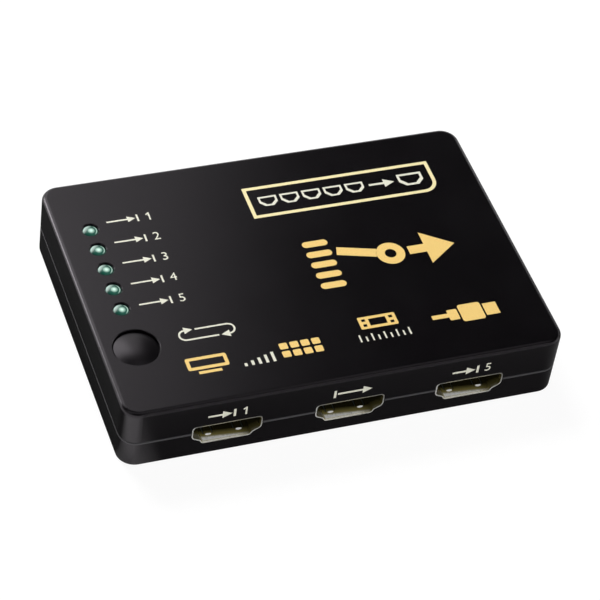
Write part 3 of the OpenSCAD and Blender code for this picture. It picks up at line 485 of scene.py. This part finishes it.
def card(name, tone, axis, start, end):
    """Grey card that fades in along one axis."""
    material, tree, shader = new_material(name)
    grain = tree.group(shared("Mould grain", build_grain), {"Cells": 2.0})
    tree.feed(shader.inputs["Base Color"], tree.mix(
        grain.outputs["Patches"], rgba((tone,) * 3), rgba((tone * 1.15,) * 3)))
    tree.feed(shader.inputs["Alpha"], tree.spread(along(tree, axis), start, end, 0.0, 1.0))
    shader.inputs["Specular IOR Level"].default_value = 0.0
    return material


def dress(nodes, material):
    """Gives CAD nodes their finish."""
    for name in nodes:
        mesh = NODES[name].data
        mesh.materials.clear()
        mesh.materials.append(material)


# Printed marks: closed outlines in millimetres, on a face seen from outside

def box_loop(x0, y0, x1, y1):
    return [(x0, y0), (x1, y0), (x1, y1), (x0, y1)]


def arc(x, y, r, start, end, steps=10):
    """Points along an arc, with angles in degrees."""
    angles = [math.radians(start + (end - start) * i / steps) for i in range(steps + 1)]
    return [(x + r * math.cos(a), y + r * math.sin(a)) for a in angles]


def disc_loop(x, y, r, steps=32):
    return arc(x, y, r, 0, 360 - 360 / steps, steps - 1)


def round_loop(x0, y0, x1, y1, corners):
    """Box outline with the given corner radii, from the lower left anticlockwise."""
    a, b, c, d = corners
    return (arc(x0 + a, y0 + a, a, 180, 270) + arc(x1 - b, y0 + b, b, 270, 360)
            + arc(x1 - c, y1 - c, c, 0, 90) + arc(x0 + d, y1 - d, d, 90, 180))


def frame_loops(x0, y0, x1, y1, corners, line):
    """Line frame: an outer outline and the hole inside it."""
    inner = [max(c - line, 0.01) for c in corners]
    return [round_loop(x0, y0, x1, y1, corners),
            round_loop(x0 + line, y0 + line, x1 - line, y1 - line, inner)]


def arrow_loop(x0, x1, y, line, head):
    """Arrow from x0 to x1, which may point either way."""
    way = 1 if x1 > x0 else -1
    neck = x1 - way * head
    return [(x0, y - line / 2), (neck, y - line / 2), (neck, y - head / 2), (x1, y),
            (neck, y + head / 2), (neck, y + line / 2), (x0, y + line / 2)]


def port_loops(x, y, w, h, line):
    """Outline of a socket: a box with its lower corners cut off."""
    def outline(g):
        cut = h * 0.38
        half = w / 2 - g
        return [(x - half + cut, y - h / 2 + g), (x + half - cut, y - h / 2 + g),
                (x + half, y - h / 2 + g + cut), (x + half, y + h / 2 - g),
                (x - half, y + h / 2 - g), (x - half, y - h / 2 + g + cut)]
    return [outline(0), outline(line)]


def stroke(points, width):
    """Outline of a line of the given width through the points."""
    left, right = [], []
    for i, (x, y) in enumerate(points):
        before = points[max(i - 1, 0)]
        after = points[min(i + 1, len(points) - 1)]
        dx, dy = after[0] - before[0], after[1] - before[1]
        size = math.hypot(dx, dy)
        nx, ny = -dy / size * width / 2, dx / size * width / 2
        left.append((x + nx, y + ny))
        right.append((x - nx, y - ny))
    return left + right[::-1]


ONE = ((-0.02, 0), (0.14, 0), (0.14, 1), (0.01, 1), (-0.26, 0.78), (-0.18, 0.67), (-0.02, 0.8))
DIGIT_SHARE = 0.7    # height of a digit, as a share of the built-in font's size


def print_marks(name, loops, paint, turn, thickness):
    """One print: closed outlines filled with ink, laid on a face by the matrix."""
    curve = bpy.data.curves.new(name, "CURVE")
    curve.dimensions = "2D"
    curve.fill_mode = "BOTH"
    curve.extrude = thickness / 2
    for loop in loops:
        spline = curve.splines.new("POLY")
        spline.points.add(len(loop) - 1)
        for point, (x, y) in zip(spline.points, loop):
            point.co = (x * MM, y * MM, 0, 1)
        spline.use_cyclic_u = True
    lay_print(name, curve, paint, turn @ Matrix.Translation((0, 0, thickness / 2)))


def print_number(name, number, x, y, height, paint, turn, thickness):
    """One plain numeral of the given height, centred on a point."""
    curve = bpy.data.curves.new(name, "FONT")
    curve.body = str(number)
    curve.align_x = "CENTER"
    curve.align_y = "CENTER"
    curve.size = height * MM / DIGIT_SHARE
    curve.extrude = thickness / 2
    place = Matrix.Translation((x * MM, y * MM, thickness / 2))
    lay_print(name, curve, paint, turn @ place)


def lay_print(name, curve, paint, place):
    """Turns a flat curve into a mesh piece of the ink, which rides on the housing."""
    material, slot = paint
    drawn = bpy.data.objects.new(name + "_curve", curve)
    bpy.context.scene.collection.objects.link(drawn)
    bpy.context.view_layer.update()
    mesh = bpy.data.meshes.new_from_object(drawn.evaluated_get(bpy.context.evaluated_depsgraph_get()))
    bpy.data.objects.remove(drawn)
    mesh.transform(place)
    mesh.name = name
    mesh.materials.clear()
    mesh.materials.append(material)
    piece = bpy.data.objects.new(name, mesh)
    bpy.context.scene.collection.objects.link(piece)
    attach(piece, "housing")


# Operators

def settings(context):
    return context.scene.switch_box


class SWITCHBOX_OT_housing(bpy.types.Operator):
    """Finish the two shells, the button and the screws"""
    bl_idname = "switch_box.housing"
    bl_label = "Housing"

    def execute(self, context):
        s = settings(context).housing
        outer = [v.co for v in NODES["bottom_shell"].data.vertices if v.co.x < CAD_LOW.x + 0.02 * MM]
        parting = max(point.z for point in outer)
        upper = plastic("Upper plastic", s.plastic, s.bloom, s.gloss, s.grain)
        # The lower shell carries the painted highlight along its parting line.
        lower = plastic("Lower plastic", s.plastic, s.bloom, s.gloss, s.grain, edge=(parting, s.sill))
        button = plastic("Button plastic", s.plastic, s.bloom, s.gloss * 1.2, s.grain * 1.6)
        dress(("top_shell",), upper)
        dress(("bottom_shell",), lower)
        dress(("select_button",), button)
        for material in (upper, lower, button):
            shader = material.node_tree.nodes["Principled BSDF"]
            shader.inputs["Specular Tint"].default_value = rgba(s.sheen)
        dress(("case_screws",), metal("Black zinc", (0.05, 0.05, 0.052), rough=(0.35, 0.5)))
        return {"FINISHED"}


class SWITCHBOX_OT_lamps(bpy.types.Operator):
    """Finish the indicator lamps and their leads"""
    bl_idname = "switch_box.lamps"
    bl_label = "Lamps"

    def execute(self, context):
        s = settings(context)
        for name in LAMPS:
            low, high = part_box(name)
            radius = (high.y - low.y) / 2
            dress((name,), lamp_resin("Resin " + name, centre(name), radius * LENS_SHARE, s.lamps))
        dress(("led_leads",), metal("Lamp lead tin", s.metal.tin))
        return {"FINISHED"}


class SWITCHBOX_OT_sockets(bpy.types.Operator):
    """Finish the video sockets"""
    bl_idname = "switch_box.sockets"
    bl_label = "Video sockets"

    def execute(self, context):
        s = settings(context)
        middle = centre("output_shell").x
        pitch = centre("input5_shell").x - middle
        sheet = socket_sheet("Socket sheet", s.metal.sheet, s.metal.throat_reflection, middle, pitch)
        contact = metal("Contact plating", s.metal.contact, rough=(0.16, 0.28))
        block = plastic("Socket plastic", (0.006, 0.006, 0.006), (0.01, 0.01, 0.01), 0.4, 8.0)
        dress([n + "_shell" for n in SOCKETS], sheet)
        dress([n + "_contacts" for n in SOCKETS], contact)
        dress([n + "_insulator" for n in SOCKETS], block)
        return {"FINISHED"}


class SWITCHBOX_OT_jacks(bpy.types.Operator):
    """Finish the power and sensor jacks"""
    bl_idname = "switch_box.jacks"
    bl_label = "Side jacks"

    def execute(self, context):
        s = settings(context)
        body = plastic("Jack plastic", (0.004, 0.004, 0.004), (0.008, 0.008, 0.008), 0.35, 6.0)
        dress(("power_jack_body", "sensor_jack_body"), body)
        dress(("power_jack_pin",), metal("Pin plating", s.metal.contact, rough=(0.16, 0.28)))
        dress(("power_jack_contacts", "sensor_jack_contacts"), metal("Spring sheet", s.metal.sheet))
        return {"FINISHED"}


class SWITCHBOX_OT_board(bpy.types.Operator):
    """Finish the circuit board and what is soldered to it"""
    bl_idname = "switch_box.board"
    bl_label = "Circuit board"

    def execute(self, context):
        s = settings(context)
        resin = plastic("Chip resin", (0.012, 0.012, 0.013), (0.02, 0.02, 0.021), 0.4, 10.0)
        tin = metal("Tinned lead", s.metal.tin)
        dress(("main_board",), laminate("Solder mask"))
        dress(("switch_chip", "control_chip", "regulator", "tact_base", "tact_plunger",
               "bulk_capacitor_base"), resin)
        dress(("switch_chip_leads", "control_chip_leads", "regulator_leads", "tact_legs"), tin)
        dress(("tact_cover",), metal("Switch cover sheet", s.metal.sheet))
        dress(("tact_dome",), metal("Dome spring", s.metal.contact))
        self.snap_dome(context)
        dress(("bulk_capacitor",), metal("Drawn can", (0.74, 0.75, 0.76), rough=(0.24, 0.36)))
        dress(("chip_capacitors",), plastic("Tan ceramic", (0.36, 0.24, 0.13), (0.45, 0.32, 0.19), 0.4, 6.0))
        dress(("chip_resistors",), plastic("Dark ceramic", (0.02, 0.02, 0.03), (0.04, 0.04, 0.05), 0.4, 6.0))
        return {"FINISHED"}

    def snap_dome(self, context):
        """Copy of the push switch's dome as a piece of its own that rides on the housing; the CAD dome is
        hidden.
        """
        dome = bpy.data.objects.new("snap_dome", NODES["tact_dome"].data.copy())
        context.scene.collection.objects.link(dome)
        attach(dome, "housing")
        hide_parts("tact_dome")
        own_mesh(dome)


class SWITCHBOX_OT_marks(bpy.types.Operator):
    """Print the marks on the roof and over the sockets"""
    bl_idname = "switch_box.marks"
    bl_label = "Printed marks"

    def execute(self, context):
        s = settings(context).marks
        self.thickness = s.thickness
        self.gold = (ink("Gold ink", s.gold), "print_gold")
        self.pale = (ink("Pale gold ink", s.pale_gold), "print_gold")
        self.cream = (ink("Cream ink", s.cream), "print_cream")
        self.roof = Matrix.Translation((0, 0, CAD_HIGH.z))
        upright = Matrix.Rotation(math.radians(90), 4, "X")
        about = Matrix.Rotation(math.radians(180), 4, "Z")
        self.front = Matrix.Translation((0, CAD_LOW.y, 0)) @ upright
        self.back = Matrix.Translation((0, CAD_HIGH.y, 0)) @ about @ upright
        self.lamp_marks()
        self.button_mark()
        self.title_frame()
        self.route_mark()
        self.small_marks()
        self.socket_marks()
        return {"FINISHED"}

    def mark(self, name, loops, paint, face):
        print_marks("print_" + name, loops, paint, face, self.thickness)

    def number(self, name, number, x, y, height, paint, face):
        """One plain numeral; the one is drawn with a flag, so that it isn't taken for a bar."""
        if number == 1:
            loop = [(x + height * px, y + height * (py - 0.5)) for px, py in ONE]
            self.mark(name, [loop], paint, face)
        else:
            print_number("print_" + name, number, x, y, height, paint, face, self.thickness)

    def lamp_marks(self):
        """Arrow into a bar, and a numeral, beside each lamp."""
        line, head, gap = 0.4, 1.7, 0.3
        for i, lamp in enumerate(LAMPS):
            middle = centre(lamp) / MM
            y = middle.y + 1.4 - 0.27 * i
            start = middle.x + 3.9
            bar = start + 6.2 + gap
            loops = [arrow_loop(start, bar - gap, y, line, head), box_loop(bar, y - 1, bar + line, y + 1)]
            self.mark("lamp_arrow_%d" % (i + 1), loops, self.cream, self.roof)
            self.number("lamp_number_%d" % (i + 1), i + 1, bar + 2.6, y, 2.2, self.cream, self.roof)

    def button_mark(self):
        """Stadium-shaped loop of two arrows beside the button."""
        middle = centre("select_button") / MM
        x0, x1, y = middle.x + 9.2, middle.x + 20.8, middle.y + 0.9
        r, line, head, gap = 1.3, 0.4, 1.8, 0.5
        hub, end = (x0 + x1) / 2, (x1 - x0) / 2 - r
        path = [(-end + head + gap, r), (end, r)] + arc(end, 0, r, 90, -90)[1:]
        tip = [(end - head, -r), (end, -r + head / 2), (end, -r - head / 2)]
        loops = [[(hub + way * px, y + way * py) for px, py in loop]
                 for way in (1, -1) for loop in (stroke(path, line), tip)]
        self.mark("button_loop", loops, self.cream, self.roof)

    def title_frame(self):
        """Line frame with one round corner, around five sockets that lead to one."""
        right, back = CAD_HIGH.x / MM, CAD_HIGH.y / MM
        x0, y0, x1, y1 = right - 52.1, back - 18.5, right - 9.8, back - 9.3
        self.mark("title_frame", frame_loops(x0, y0, x1, y1, (0.1, 3.4, 0.1, 0.1), 0.8), self.pale, self.roof)
        y = (y0 + y1) / 2
        loops = []
        for i in range(5):
            loops += port_loops(x0 + 4.6 + i * 4.9, y, 4.1, 2.9, 0.45)
        loops.append(arrow_loop(x0 + 27.4, x0 + 33.2, y, 0.55, 2.4))
        loops += port_loops(x0 + 37.0, y, 5.6, 3.6, 0.55)
        self.mark("title_sockets", loops, self.cream, self.roof)

    def route_mark(self):
        """Selector: five contact bars, a lever on one of them, and one way out."""
        x0, x1, y, line = 2.2, 34.2, -1.4, 2.3
        hub = x0 + 17.6
        loops = []
        for i in range(5):
            py = y + (2 - i) * 3.05
            loops.append(round_loop(x0, py - 0.85, x0 + 5.6, py + 0.85, (0.85,) * 4))
        loops.append(stroke([(x0 + 6.6, y + 3.05), (hub - 2.9, y + 0.75)], line))
        loops += [disc_loop(hub, y, 3.1), disc_loop(hub, y, 1.25)]
        neck = x1 - 6.6
        loops.append([(hub + 4.0, y - line / 2), (neck, y - line / 2), (neck, y - 4.6), (x1, y),
                      (neck, y + 4.6), (neck, y + line / 2), (hub + 4.0, y + line / 2)])
        self.mark("selector", loops, self.gold, self.roof)

    def small_marks(self):
        """Row of small pictures along the front edge."""
        screen = frame_loops(-31.3, -24.0, -22.7, -20.7, (0.5,) * 4, 0.75)
        screen.append(box_loop(-29.4, -25.2, -24.6, -24.5))
        self.mark("screen", screen, self.gold, self.roof)
        bars = [box_loop(-19.9 + i * 1.5, -25.2, -19.3 + i * 1.5, -24.4 + i * 0.45) for i in range(5)]
        self.mark("level_bars", bars, self.cream, self.roof)
        tiles = [round_loop(x, y, x + 1.75, y + 1.65, (0.3,) * 4)
                 for x in (-11.6, -9.3, -7.0, -4.7) for y in (-24.7, -22.5)]
        self.mark("tiles", tiles, self.gold, self.roof)
        strip = [round_loop(6.4, -20.9, 14.5, -17.6, (0.3,) * 4), box_loop(8.6, -20.2, 12.3, -18.3)]
        for y in (-20.3, -18.9):
            for x in (7.1, 13.0):
                strip.append(box_loop(x, y, x + 0.8, y + 0.7))
        self.mark("film", strip, self.gold, self.roof)
        ticks = [box_loop(5.1 + i * 1.34, -24.2, 5.45 + i * 1.34, -22.3 - 0.6 * (i % 2)) for i in range(9)]
        self.mark("ticks", ticks, self.cream, self.roof)
        plug = [box_loop(21.7, -21.6, 25.3, -20.5), round_loop(25.3, -22.5, 27.5, -19.6, (0.3,) * 4),
                round_loop(27.9, -23.4, 32.9, -18.7, (0.6,) * 4), box_loop(33.3, -22.7, 36.3, -19.4)]
        self.mark("plug", plug, self.gold, self.roof)

    def socket_marks(self):
        """Arrow and numeral over each input, and an arrow out over the output."""
        z, line, head = 10.9, 0.5, 2.0
        for name, number in (("input1", 1), ("output", None), ("input5", 5), ("input2", 2),
                             ("input3", 3), ("input4", 4)):
            middle = centre(name + "_shell") / MM
            face, x = (self.front, middle.x) if middle.y < 0 else (self.back, -middle.x)
            start, end = (x - 4.4, x + 0.6) if number else (x - 3.2, x + 4.2)
            bar = end + 0.3 if number else start - 0.8
            loops = [arrow_loop(start, end, z, line, head), box_loop(bar, z - 1.05, bar + line, z + 1.05)]
            self.mark(name + "_arrow", loops, self.cream, face)
            if number:
                self.number(name + "_number", number, bar + 2.5, z, 2.2, self.cream, face)


class SWITCHBOX_OT_stage(bpy.types.Operator):
    """Set up the floor, the lights and the camera"""
    bl_idname = "switch_box.stage"
    bl_label = "Stage"

    def execute(self, context):
        s = settings(context).stage
        self.floor(context, s)
        self.lights(context, s)
        self.camera(context, s)
        context.scene.view_settings.view_transform = "Standard"
        return {"FINISHED"}

    def floor(self, context, s):
        """Pale round floor with a cove, a little under the base."""
        flat, bend, rise, steps, around = 1.6, 0.4, 0.5, 8, 64
        profile = [(0.0, 0.0), (flat, 0.0)]
        profile += [(flat + bend * math.sin(a), bend - bend * math.cos(a))
                    for a in (math.radians(90 * i / steps) for i in range(1, steps + 1))]
        profile.append((flat + bend, bend + rise))
        vertices, faces = [], []
        for k in range(around):
            a = 2 * math.pi * k / around
            vertices += [(r * math.cos(a), r * math.sin(a), z) for r, z in profile]
        n = len(profile)
        for k in range(around):
            for j in range(n - 1):
                a, b = k * n + j, ((k + 1) % around) * n + j
                faces.append((a, a + 1, b + 1, b))
        mesh = bpy.data.meshes.new("floor")
        mesh.from_pydata(vertices, [], faces)
        mesh.transform(Matrix.Translation((0, 0, CAD_LOW.z - 0.05 * MM)))
        mesh.polygons.foreach_set("use_smooth", [True] * len(mesh.polygons))
        piece = bpy.data.objects.new("floor", mesh)
        context.scene.collection.objects.link(piece)
        mesh.materials.append(self.floor_paint(s))

    def floor_paint(self, s):
        """Pale paint, which the camera and clear reflections see as white with a soft shadow."""
        material, tree, shader = new_material("Floor paint")
        grain = tree.group(shared("Mould grain", build_grain), {"Cells": 0.2})
        paint = tree.mix(grain.outputs["Patches"], rgba(s.floor), rgba([c * 0.97 for c in s.floor]))
        shader.inputs["Roughness"].default_value = 0.9
        shader.inputs["Specular IOR Level"].default_value = 0.0
        rays = tree.add("ShaderNodeLightPath")
        seen = tree.math("MAXIMUM", rays.outputs["Is Camera Ray"], rays.outputs["Is Glossy Ray"])
        seen = tree.math("MAXIMUM", seen, rays.outputs["Is Transmission Ray"])
        tree.feed(shader.inputs["Base Color"], tree.mix(seen, paint, rgba([c * 0.2 for c in s.floor])))
        place = tree.add("ShaderNodeTexCoord").outputs["Object"]
        far = tree.add("ShaderNodeVectorMath", {0: place}, operation="LENGTH").outputs["Value"]
        white = tree.mix(tree.spread(far, 0.2, 0.6, 0.0, 1.0), rgba((0.88,) * 3), rgba((1.0,) * 3))
        tree.feed(shader.inputs["Emission Color"], tree.mix(seen, rgba((0.0,) * 3), white))
        shader.inputs["Emission Strength"].default_value = 1.0
        return material

    def lights(self, context, s):
        """Lamps for the surfaces, dim panels for their reflections, and cards that darken those."""
        world = bpy.data.worlds.new("Studio")
        context.scene.world = world
        world.use_nodes = True
        background = world.node_tree.nodes["Background"]
        background.inputs["Color"].default_value = (1, 1, 1, 1)
        background.inputs["Strength"].default_value = s.ambient
        aim = Vector((0, 0, CAD_HIGH.z))
        for name, place, width, height, power in (
                ("key_panel", (-0.076, 0.3, 0.3), 0.25, 0.24, 1.95),
                ("overhead_panel", (0.135, -0.16, 0.4), 0.26, 0.26, 0.28),
                ("front_fill", (-0.05, -0.46, 0.3), 0.3, 0.26, 1.5)):
            self.panel(context, name, aim, place, width, height, power).visible_glossy = False
        for name, place, width, height, power in (
                ("roof_reflector", (-0.095, 0.3, 0.3), 0.22, 0.24, 0.36),
                ("roof_side_reflector", (0.05, 0.3, 0.3), 0.1, 0.24, 0.06),
                ("left_edge_reflector", (-0.275, 0.32, 0.2), 0.14, 0.14, 0.6),
                ("front_edge_reflector", (0.08, -0.06, 0.42), 0.34, 0.34, 0.13),
                ("corner_reflector", (-0.25, -0.08, 0.37), 0.2, 0.32, 0.09),
                ("front_reflector", (0.12, -0.36, 0.24), 0.35, 0.34, 0.06),
                ("right_edge_reflector", (0.287, 0.266, 0.14), 0.1, 0.2, 0.06)):
            self.panel(context, name, aim, place, width, height, power).visible_diffuse = False
        left, right, front, back = CAD_LOW.x, CAD_HIGH.x, CAD_LOW.y, CAD_HIGH.y
        side = card("Dark card", 0.05, "Y", front - 0.003, front + 0.005)
        before = card("Grey card", 0.21, "X", left + 0.001, left + 0.009)
        standing = card("Pale card", 0.5, "X", left + 0.003, left + 0.009)
        low, near, outer = CAD_LOW.z - 0.02 * MM, front - 0.03, right + 0.04
        for name, first, last, material in (
                ("left_flag", (left - 0.04, front - 0.005, low), (left + 0.002, back + 0.03, low), side),
                ("right_flag", (right - 0.002, front + 0.002, low), (outer, back + 0.06, low), before),
                ("right_board", (outer, front, low), (outer, back + 0.06, 0.022), before),
                ("front_flag", (left - 0.005, near, low), (outer, front + 0.002, low), before),
                ("front_board", (left - 0.005, near, low), (outer, near, 0.042), standing)):
            self.flag(context, name, first, last, material)

    def flag(self, context, name, first, last, material):
        """Flat or upright card between two corners, seen only by reflections, that keeps a wall dark."""
        first, last = Vector(first), Vector(last)
        turn = Vector((last.x, first.y, first.z))
        if first.x == last.x:
            turn = Vector((first.x, last.y, first.z))
        mesh = bpy.data.meshes.new(name)
        mesh.from_pydata([first, turn, last, first + last - turn], [], [(0, 1, 2, 3)])
        mesh.materials.append(material)
        piece = bpy.data.objects.new(name, mesh)
        piece.visible_camera = False
        piece.visible_diffuse = False
        piece.visible_transmission = False
        piece.visible_shadow = False
        context.scene.collection.objects.link(piece)

    def panel(self, context, name, aim, place, width, height, power):
        """Soft rectangular lamp that points at the box and isn't seen itself."""
        light = bpy.data.lights.new(name, "AREA")
        light.shape = "RECTANGLE"
        light.size = width
        light.size_y = height
        light.energy = power
        lamp = bpy.data.objects.new(name, light)
        lamp.location = place
        lamp.rotation_euler = (aim - Vector(place)).to_track_quat("-Z", "Y").to_euler()
        lamp.visible_camera = False
        context.scene.collection.objects.link(lamp)
        return lamp

    def camera(self, context, s):
        """Camera at the direction, distance and roll of the settings."""
        back = Vector((math.sin(s.azimuth) * math.cos(s.elevation),
                       -math.cos(s.azimuth) * math.cos(s.elevation), math.sin(s.elevation)))
        level = Vector((math.cos(s.azimuth), math.sin(s.azimuth), 0))
        upright = back.cross(level)
        right = math.cos(s.roll) * level + math.sin(s.roll) * upright
        up = math.cos(s.roll) * upright - math.sin(s.roll) * level
        lens = bpy.data.cameras.new("camera")
        lens.sensor_width = 36
        lens.lens = s.lens
        lens.clip_start = 0.01
        camera = bpy.data.objects.new("camera", lens)
        turn = Matrix((right, up, back)).transposed().to_4x4()
        camera.matrix_world = Matrix.Translation(back * s.distance + right * s.aside + up * s.above) @ turn
        context.scene.collection.objects.link(camera)
        context.scene.camera = camera


class SWITCHBOX_PT_panel(bpy.types.Panel):
    """Settings and steps of the switch box"""
    bl_idname = "SWITCHBOX_PT_panel"
    bl_label = "Switch box"
    bl_space_type = "VIEW_3D"
    bl_region_type = "UI"
    bl_category = "Switch box"

    def draw(self, context):
        box = context.scene.switch_box
        for group in (box.housing, box.lamps, box.metal, box.marks, box.stage):
            column = self.layout.column()
            for name in group.bl_rna.properties.keys():
                if name not in ("rna_type", "name"):
                    column.prop(group, name)
        for step in STEPS:
            self.layout.operator(step.bl_idname)


STEPS = (SWITCHBOX_OT_housing, SWITCHBOX_OT_lamps, SWITCHBOX_OT_sockets, SWITCHBOX_OT_jacks,
         SWITCHBOX_OT_board, SWITCHBOX_OT_marks, SWITCHBOX_OT_stage)
CLASSES = (HousingSettings, LampSettings, MetalSettings, PrintSettings, StageSettings,
           SwitchBoxSettings) + STEPS + (SWITCHBOX_PT_panel,)


def register():
    for cls in CLASSES:
        bpy.utils.register_class(cls)
    bpy.types.Scene.switch_box = bpy.props.PointerProperty(type=SwitchBoxSettings)


def unregister():
    del bpy.types.Scene.switch_box
    for cls in reversed(CLASSES):
        bpy.utils.unregister_class(cls)


def main():
    register()
    bpy.ops.switch_box.housing()
    bpy.ops.switch_box.lamps()
    bpy.ops.switch_box.sockets()
    bpy.ops.switch_box.jacks()
    bpy.ops.switch_box.board()
    bpy.ops.switch_box.marks()
    bpy.ops.switch_box.stage()


if __name__ == "__main__":
    main()
